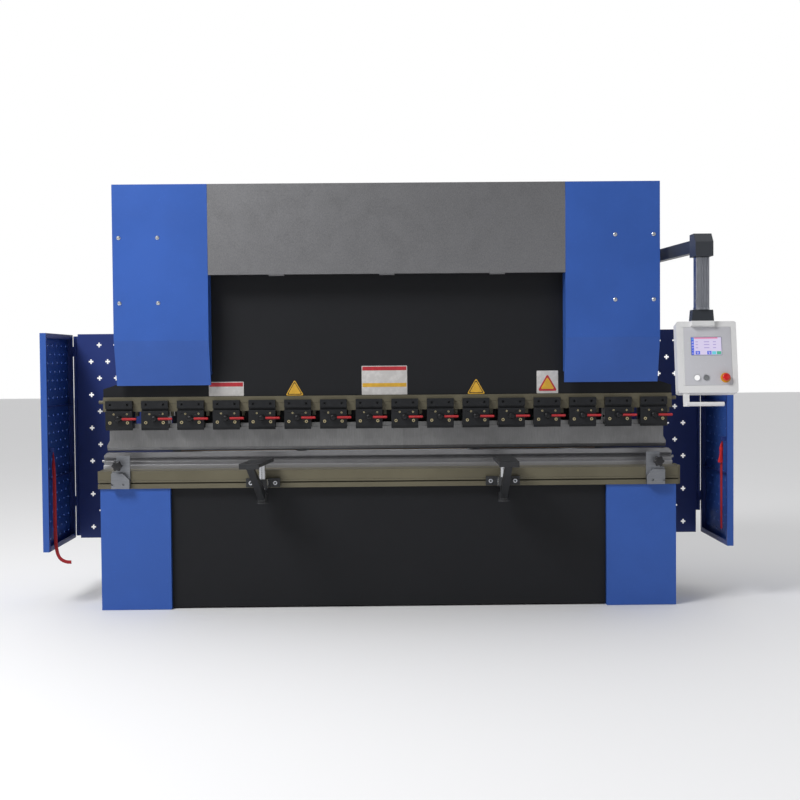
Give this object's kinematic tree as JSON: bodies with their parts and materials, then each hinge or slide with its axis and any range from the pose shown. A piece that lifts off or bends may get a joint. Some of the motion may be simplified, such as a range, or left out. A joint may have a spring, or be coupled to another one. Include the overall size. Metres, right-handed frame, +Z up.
{
  "type": "press brake",
  "caption": "Hydraulic press brake with quick punch clamps, multi-V die, torsion shaft, back gauge, sheet supports, side guards and a swinging control pendant.",
  "frame": {"origin": "middle of the four anchor bolt holes, on the floor", "axes": "+X to the right along the bending line seen by the operator, +Y to the back, +Z up"},
  "size_m": [3.86, 2.0771, 2.345],
  "materials": {
    "frame_paint": "semi-gloss dark paint",
    "table_paint": "matte black paint",
    "khaki_paint": "satin grey-khaki paint",
    "die_steel": "ground steel",
    "blue_paint": "semi-gloss blue powder coat",
    "zinc_screw": "zinc plated",
    "stainless": "vertically brushed stainless",
    "black_panel": "matte black paint",
    "tank_paint": "satin grey paint",
    "cylinder_paint": "satin grey paint",
    "pump_metal": "painted cast iron",
    "machined_steel": "machined steel",
    "guard_paint": "semi-gloss blue powder coat",
    "cabinet_paint": "light grey textured powder coat",
    "satin_plate": "satin plated steel",
    "ram_paint": "matte black paint",
    "clamp_black": "black oxide",
    "screw_brass": "pale yellow passivated",
    "punch_steel": "ground tool steel",
    "rod_chrome": "hard chrome",
    "lever_red": "red sleeve on a black hub",
    "gauge_orange": "painted aluminium",
    "finger_steel": "machined steel",
    "support_black": "black paint, chrome post",
    "knob_plastic": "moulded black plastic",
    "strap_web": "woven red webbing",
    "arm_aluminium": "anodised aluminium, dark elbow",
    "pendant_paint": "light grey powder coat",
    "estop_red": "red plastic",
    "button_white": "white lens",
    "button_grey": "grey plastic"
  },
  "bodies": {
    "root": {"main_frame": "frame_paint", "worktable": "table_paint", "front_rail": "khaki_paint", "die_set": "die_steel", "leg_covers": "blue_paint", "cylinder_covers": "blue_paint", "cover_screws": "zinc_screw", "fascia_panel": "stainless", "apron_panel": "black_panel", "oil_tank": "tank_paint", "cylinder_barrels": "cylinder_paint", "power_pack": "pump_metal", "guide_blocks": "machined_steel", "gauge_rails": "machined_steel", "guard_wings": "guard_paint", "arm_bracket": "frame_paint", "cabinet": "cabinet_paint", "die_end_plates": "satin_plate"},
    "ram": {"ram_plate": "ram_paint", "punch_rail": "khaki_paint", "clamps": "clamp_black", "clamp_screws": "screw_brass", "punches": "punch_steel", "piston_rods": "rod_chrome"},
    "torsion_shaft": {"torsion_shaft": "machined_steel"},
    "gauge_beam": {"gauge_beam": "gauge_orange"},
    "gauge_finger_left": {"gauge_finger_left": "finger_steel"},
    "gauge_finger_right": {"gauge_finger_right": "finger_steel"},
    "support_left": {"support_bracket_left": "support_black"},
    "support_right": {"support_bracket_right": "support_black"},
    "support_arm_left": {"support_arm_left": "support_black"},
    "support_arm_right": {"support_arm_right": "support_black"},
    "die_knob_left": {"die_knob_left": "knob_plastic"},
    "die_knob_right": {"die_knob_right": "knob_plastic"},
    "door_left": {"door_left": "guard_paint", "strap_left": "strap_web"},
    "door_right": {"door_right": "guard_paint", "strap_right": "strap_web"},
    "pendant_arm": {"pendant_arm": "arm_aluminium"},
    "pendant_box": {"pendant_box": "pendant_paint"},
    "estop": {"estop": "estop_red"},
    "button_white": {"button_white": "button_white"},
    "button_grey": {"button_grey": "button_grey"},
    "cabinet_door": {"cabinet_door": "cabinet_paint"},
    "lever_01": {"lever_01": "lever_red"},
    "lever_02": {"lever_02": "lever_red"},
    "lever_03": {"lever_03": "lever_red"},
    "lever_04": {"lever_04": "lever_red"},
    "lever_05": {"lever_05": "lever_red"},
    "lever_06": {"lever_06": "lever_red"},
    "lever_07": {"lever_07": "lever_red"},
    "lever_08": {"lever_08": "lever_red"},
    "lever_09": {"lever_09": "lever_red"},
    "lever_10": {"lever_10": "lever_red"},
    "lever_11": {"lever_11": "lever_red"},
    "lever_12": {"lever_12": "lever_red"},
    "lever_13": {"lever_13": "lever_red"},
    "lever_14": {"lever_14": "lever_red"},
    "lever_15": {"lever_15": "lever_red"},
    "lever_16": {"lever_16": "lever_red"}
  },
  "joints": [
    {"name": "ram_stroke", "type": "slide", "parent": "root", "child": "ram", "axis": [0, 0, 1], "range_m": [0, 0.12]},
    {"name": "torsion_turn", "type": "hinge", "parent": "root", "child": "torsion_shaft", "pos_m": [0, -0.17, 1.45], "axis": [-1, 0, 0], "range_deg": [0, 28]},
    {"name": "lever_01_turn", "type": "hinge", "parent": "ram", "child": "lever_01", "pos_m": [-1.507, -0.575, 1.051], "axis": [0, 1, 0], "range_deg": [0, 90]},
    {"name": "lever_02_turn", "type": "hinge", "parent": "ram", "child": "lever_02", "pos_m": [-1.307, -0.575, 1.051], "axis": [0, 1, 0], "range_deg": [0, 90]},
    {"name": "lever_03_turn", "type": "hinge", "parent": "ram", "child": "lever_03", "pos_m": [-1.107, -0.575, 1.051], "axis": [0, 1, 0], "range_deg": [0, 90]},
    {"name": "lever_04_turn", "type": "hinge", "parent": "ram", "child": "lever_04", "pos_m": [-0.907, -0.575, 1.051], "axis": [0, 1, 0], "range_deg": [0, 90]},
    {"name": "lever_05_turn", "type": "hinge", "parent": "ram", "child": "lever_05", "pos_m": [-0.707, -0.575, 1.051], "axis": [0, 1, 0], "range_deg": [0, 90]},
    {"name": "lever_06_turn", "type": "hinge", "parent": "ram", "child": "lever_06", "pos_m": [-0.507, -0.575, 1.051], "axis": [0, 1, 0], "range_deg": [0, 90]},
    {"name": "lever_07_turn", "type": "hinge", "parent": "ram", "child": "lever_07", "pos_m": [-0.307, -0.575, 1.051], "axis": [0, 1, 0], "range_deg": [0, 90]},
    {"name": "lever_08_turn", "type": "hinge", "parent": "ram", "child": "lever_08", "pos_m": [-0.107, -0.575, 1.051], "axis": [0, 1, 0], "range_deg": [0, 90]},
    {"name": "lever_09_turn", "type": "hinge", "parent": "ram", "child": "lever_09", "pos_m": [0.093, -0.575, 1.051], "axis": [0, 1, 0], "range_deg": [0, 90]},
    {"name": "lever_10_turn", "type": "hinge", "parent": "ram", "child": "lever_10", "pos_m": [0.293, -0.575, 1.051], "axis": [0, 1, 0], "range_deg": [0, 90]},
    {"name": "lever_11_turn", "type": "hinge", "parent": "ram", "child": "lever_11", "pos_m": [0.493, -0.575, 1.051], "axis": [0, 1, 0], "range_deg": [0, 90]},
    {"name": "lever_12_turn", "type": "hinge", "parent": "ram", "child": "lever_12", "pos_m": [0.693, -0.575, 1.051], "axis": [0, 1, 0], "range_deg": [0, 90]},
    {"name": "lever_13_turn", "type": "hinge", "parent": "ram", "child": "lever_13", "pos_m": [0.893, -0.575, 1.051], "axis": [0, 1, 0], "range_deg": [0, 90]},
    {"name": "lever_14_turn", "type": "hinge", "parent": "ram", "child": "lever_14", "pos_m": [1.093, -0.575, 1.051], "axis": [0, 1, 0], "range_deg": [0, 90]},
    {"name": "lever_15_turn", "type": "hinge", "parent": "ram", "child": "lever_15", "pos_m": [1.293, -0.575, 1.051], "axis": [0, 1, 0], "range_deg": [0, 90]},
    {"name": "lever_16_turn", "type": "hinge", "parent": "ram", "child": "lever_16", "pos_m": [1.493, -0.575, 1.051], "axis": [0, 1, 0], "range_deg": [0, 90]},
    {"name": "gauge_depth", "type": "slide", "parent": "root", "child": "gauge_beam", "axis": [0, 1, 0], "range_m": [-0.06, 0.48]},
    {"name": "finger_left_slide", "type": "slide", "parent": "gauge_beam", "child": "gauge_finger_left", "axis": [1, 0, 0], "range_m": [-0.3, 0.3]},
    {"name": "finger_right_slide", "type": "slide", "parent": "gauge_beam", "child": "gauge_finger_right", "axis": [1, 0, 0], "range_m": [-0.3, 0.3]},
    {"name": "support_left_slide", "type": "slide", "parent": "root", "child": "support_left", "axis": [1, 0, 0], "range_m": [-0.45, 0.4]},
    {"name": "support_right_slide", "type": "slide", "parent": "root", "child": "support_right", "axis": [1, 0, 0], "range_m": [-0.35, 0.45]},
    {"name": "support_left_swivel", "type": "hinge", "parent": "support_left", "child": "support_arm_left", "pos_m": [-0.69, -0.762, 0.8], "axis": [0, 0, 1], "range_deg": [-54, 66]},
    {"name": "support_right_swivel", "type": "hinge", "parent": "support_right", "child": "support_arm_right", "pos_m": [0.628, -0.762, 0.8], "axis": [0, 0, 1], "range_deg": [-60, 60]},
    {"name": "knob_left_turn", "type": "hinge", "parent": "root", "child": "die_knob_left", "pos_m": [-1.482, -0.745, 0.803], "axis": [0, 1, 0], "continuous": true},
    {"name": "knob_right_turn", "type": "hinge", "parent": "root", "child": "die_knob_right", "pos_m": [1.482, -0.745, 0.803], "axis": [0, 1, 0], "continuous": true},
    {"name": "door_left_hinge", "type": "hinge", "parent": "root", "child": "door_left", "pos_m": [-1.885, -0.008, 0.9], "axis": [0, 0, -1], "range_deg": [0, 100]},
    {"name": "door_right_hinge", "type": "hinge", "parent": "root", "child": "door_right", "pos_m": [1.885, -0.008, 0.9], "axis": [0, 0, 1], "range_deg": [0, 100]},
    {"name": "pendant_swing", "type": "hinge", "parent": "root", "child": "pendant_arm", "pos_m": [1.553, -0.3, 1.95], "axis": [0, 0, 1], "range_deg": [-8, 84]},
    {"name": "pendant_swivel", "type": "hinge", "parent": "pendant_arm", "child": "pendant_box", "pos_m": [1.63453, -1.07573, 1.616], "axis": [0, 0, 1], "range_deg": [-90, 90]},
    {"name": "estop_press", "type": "slide", "parent": "pendant_box", "child": "estop", "axis": [0.0514, 0.9803, -0.1908], "range_m": [0, 0.006], "stiffness_N_per_m": 600},
    {"name": "button_white_press", "type": "slide", "parent": "pendant_box", "child": "button_white", "axis": [0.0514, 0.9803, -0.1908], "range_m": [0, 0.003], "stiffness_N_per_m": 500},
    {"name": "button_grey_press", "type": "slide", "parent": "pendant_box", "child": "button_grey", "axis": [0.0514, 0.9803, -0.1908], "range_m": [0, 0.003], "stiffness_N_per_m": 500},
    {"name": "cabinet_door_hinge", "type": "hinge", "parent": "root", "child": "cabinet_door", "pos_m": [1.17, 0.868, 1.4], "axis": [0, 0, -1], "range_deg": [0, 110]}
  ],
  "couplings": [
    {"joint": "torsion_turn", "follows": "ram_stroke", "rad_per_m": 4}
  ]
}
